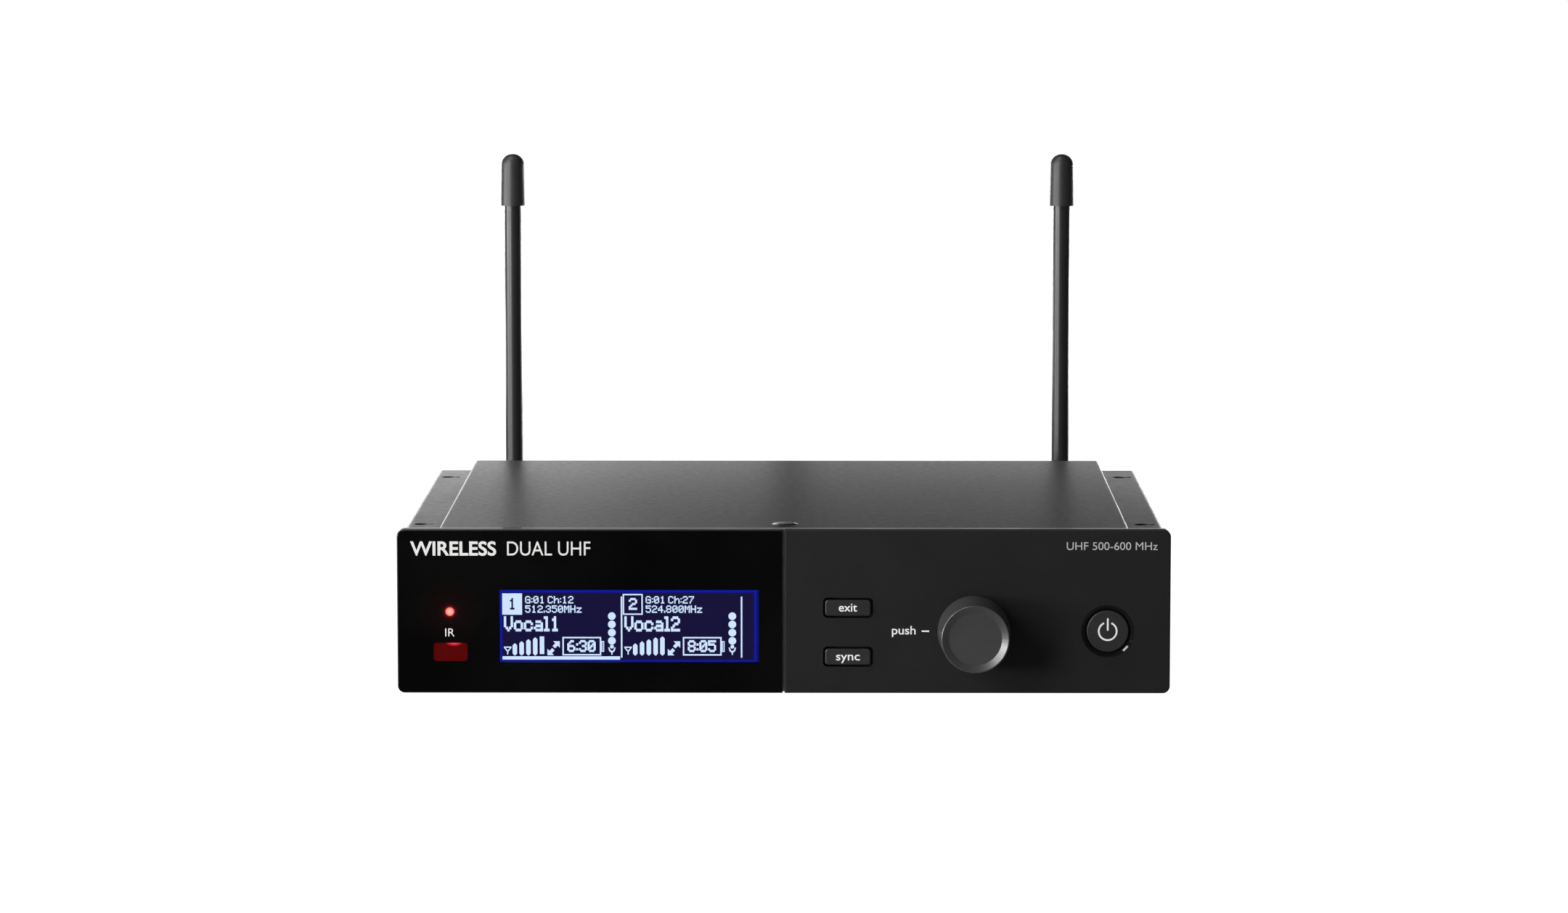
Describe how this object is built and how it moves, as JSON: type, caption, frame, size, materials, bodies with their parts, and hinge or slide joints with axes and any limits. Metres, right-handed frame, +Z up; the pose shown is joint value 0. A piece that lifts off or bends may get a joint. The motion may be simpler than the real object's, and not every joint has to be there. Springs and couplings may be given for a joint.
{
  "type": "wireless receiver",
  "caption": "Half-rack wireless audio receiver with a lit display, push knob, keys, rear sockets and hinged whip antennas on bayonet plugs.",
  "frame": {"origin": "centre of the whole unit's box, on the plane of its feet", "axes": "+X to the right seen from the front, +Y from front panel to rear, +Z up"},
  "size_m": [0.197, 0.1969, 0.1289],
  "materials": {
    "housing_paint": "fine black powder coat",
    "bezel_plastic": "satin moulded",
    "gloss_mask": "polished black",
    "matte_fascia": "fine matte black",
    "clear_window": "clear polished",
    "infrared_red": "dark red, see-through to infrared",
    "status_red": "clear red light guide, lit",
    "gloss_trim": "polished black",
    "display_panel": "lit blue graphic display",
    "light_panel": "white diffuser",
    "tinned_steel": "tinned sheet",
    "key_plastic": "fine matte black",
    "knob_plastic": "satin dark grey",
    "switch_plastic": "moulded",
    "plated_steel": "zinc plated",
    "bright_screw": "bright nickel",
    "nickel": "nickel plate",
    "black_zinc": "black zinc",
    "gold_contact": "gold flash",
    "board_green": "solder mask",
    "capacitor_can": "bright sleeve",
    "ribbon_white": "flat cable",
    "lead_jacket": "black jacket",
    "white_dielectric": "smooth",
    "foot_rubber": "matte",
    "antenna_plastic": "satin black moulded",
    "whip_sleeve": "satin black sleeve",
    "tip_rubber": "soft matte black"
  },
  "bodies": {
    "receiver": {"chassis_tray": "housing_paint", "top_cover": "housing_paint", "rear_panel": "housing_paint", "front_frame": "bezel_plastic", "left_fascia": "gloss_mask", "right_fascia": "matte_fascia", "display_window": "clear_window", "infrared_window": "infrared_red", "status_light_guide": "status_red", "power_ring": "gloss_trim", "display_glass": "display_panel", "backlight_panel": "light_panel", "display_frame": "tinned_steel", "tuner_shields": "tinned_steel", "network_jack": "tinned_steel", "menu_switches": "switch_plastic", "power_switch": "switch_plastic", "infrared_transceiver": "switch_plastic", "line_jacks": "switch_plastic", "dc_inlet_shell": "switch_plastic", "board_chips": "switch_plastic", "encoder_housing": "plated_steel", "encoder_nut": "plated_steel", "board_screws": "plated_steel", "cover_screw": "bright_screw", "line_jack_nuts": "nickel", "antenna_jack_shells": "nickel", "antenna_jack_nuts": "nickel", "dc_inlet_pin": "nickel", "rear_screws": "black_zinc", "balanced_shells": "black_zinc", "balanced_pins": "gold_contact", "network_contacts": "gold_contact", "board_posts": "gold_contact", "front_board": "board_green", "main_board": "board_green", "filter_capacitors": "capacitor_can", "board_ribbon": "ribbon_white", "antenna_leads": "lead_jacket", "antenna_jack_cores": "white_dielectric", "rubber_feet": "foot_rubber"},
    "exit_key": {"exit_button": "key_plastic"},
    "sync_key": {"sync_button": "key_plastic"},
    "power_key": {"power_button": "key_plastic"},
    "encoder_push": {"encoder_plunger": "gold_contact"},
    "encoder_turn": {"encoder_shaft": "plated_steel", "control_knob": "knob_plastic"},
    "left_collar": {"left_bayonet_collar": "nickel"},
    "left_swivel": {"left_antenna_elbow": "antenna_plastic", "left_hinge_pin": "plated_steel"},
    "left_whip_arm": {"left_whip_socket": "antenna_plastic", "left_whip": "whip_sleeve", "left_whip_tip": "tip_rubber"},
    "right_collar": {"right_bayonet_collar": "nickel"},
    "right_swivel": {"right_antenna_elbow": "antenna_plastic", "right_hinge_pin": "plated_steel"},
    "right_whip_arm": {"right_whip_socket": "antenna_plastic", "right_whip": "whip_sleeve", "right_whip_tip": "tip_rubber"}
  },
  "joints": [
    {"name": "exit_press", "type": "slide", "parent": "receiver", "child": "exit_key", "axis": [0, 1, 0], "range_m": [0, 0.0007], "stiffness_N_per_m": 500, "springref_m": -0.0006},
    {"name": "sync_press", "type": "slide", "parent": "receiver", "child": "sync_key", "axis": [0, 1, 0], "range_m": [0, 0.0007], "stiffness_N_per_m": 500, "springref_m": -0.0006},
    {"name": "power_press", "type": "slide", "parent": "receiver", "child": "power_key", "axis": [0, 1, 0], "range_m": [0, 0.0015], "stiffness_N_per_m": 500, "springref_m": -0.0008},
    {"name": "knob_push", "type": "slide", "parent": "receiver", "child": "encoder_push", "axis": [0, 1, 0], "range_m": [0, 0.0006], "stiffness_N_per_m": 1600, "springref_m": -0.0008},
    {"name": "knob_turn", "type": "hinge", "parent": "encoder_push", "child": "encoder_turn", "pos_m": [0.04847, -0.08405, 0.0178], "axis": [0, -1, 0], "continuous": true},
    {"name": "left_collar_turn", "type": "hinge", "parent": "receiver", "child": "left_collar", "pos_m": [-0.0785, 0.07595, 0.0288], "axis": [0, 1, 0], "range_deg": [0, 90]},
    {"name": "left_antenna_swivel", "type": "hinge", "parent": "receiver", "child": "left_swivel", "pos_m": [-0.0785, 0.08095, 0.0288], "axis": [0, 1, 0], "range_deg": [-90, 45]},
    {"name": "left_whip_tilt", "type": "hinge", "parent": "left_swivel", "child": "left_whip_arm", "pos_m": [-0.0785, 0.09395, 0.0288], "axis": [-1, 0, 0], "range_deg": [0, 90]},
    {"name": "right_collar_turn", "type": "hinge", "parent": "receiver", "child": "right_collar", "pos_m": [0.0785, 0.07595, 0.0288], "axis": [0, 1, 0], "range_deg": [0, 90]},
    {"name": "right_antenna_swivel", "type": "hinge", "parent": "receiver", "child": "right_swivel", "pos_m": [0.0785, 0.08095, 0.0288], "axis": [0, 1, 0], "range_deg": [-45, 90]},
    {"name": "right_whip_tilt", "type": "hinge", "parent": "right_swivel", "child": "right_whip_arm", "pos_m": [0.0785, 0.09395, 0.0288], "axis": [-1, 0, 0], "range_deg": [0, 90]}
  ]
}
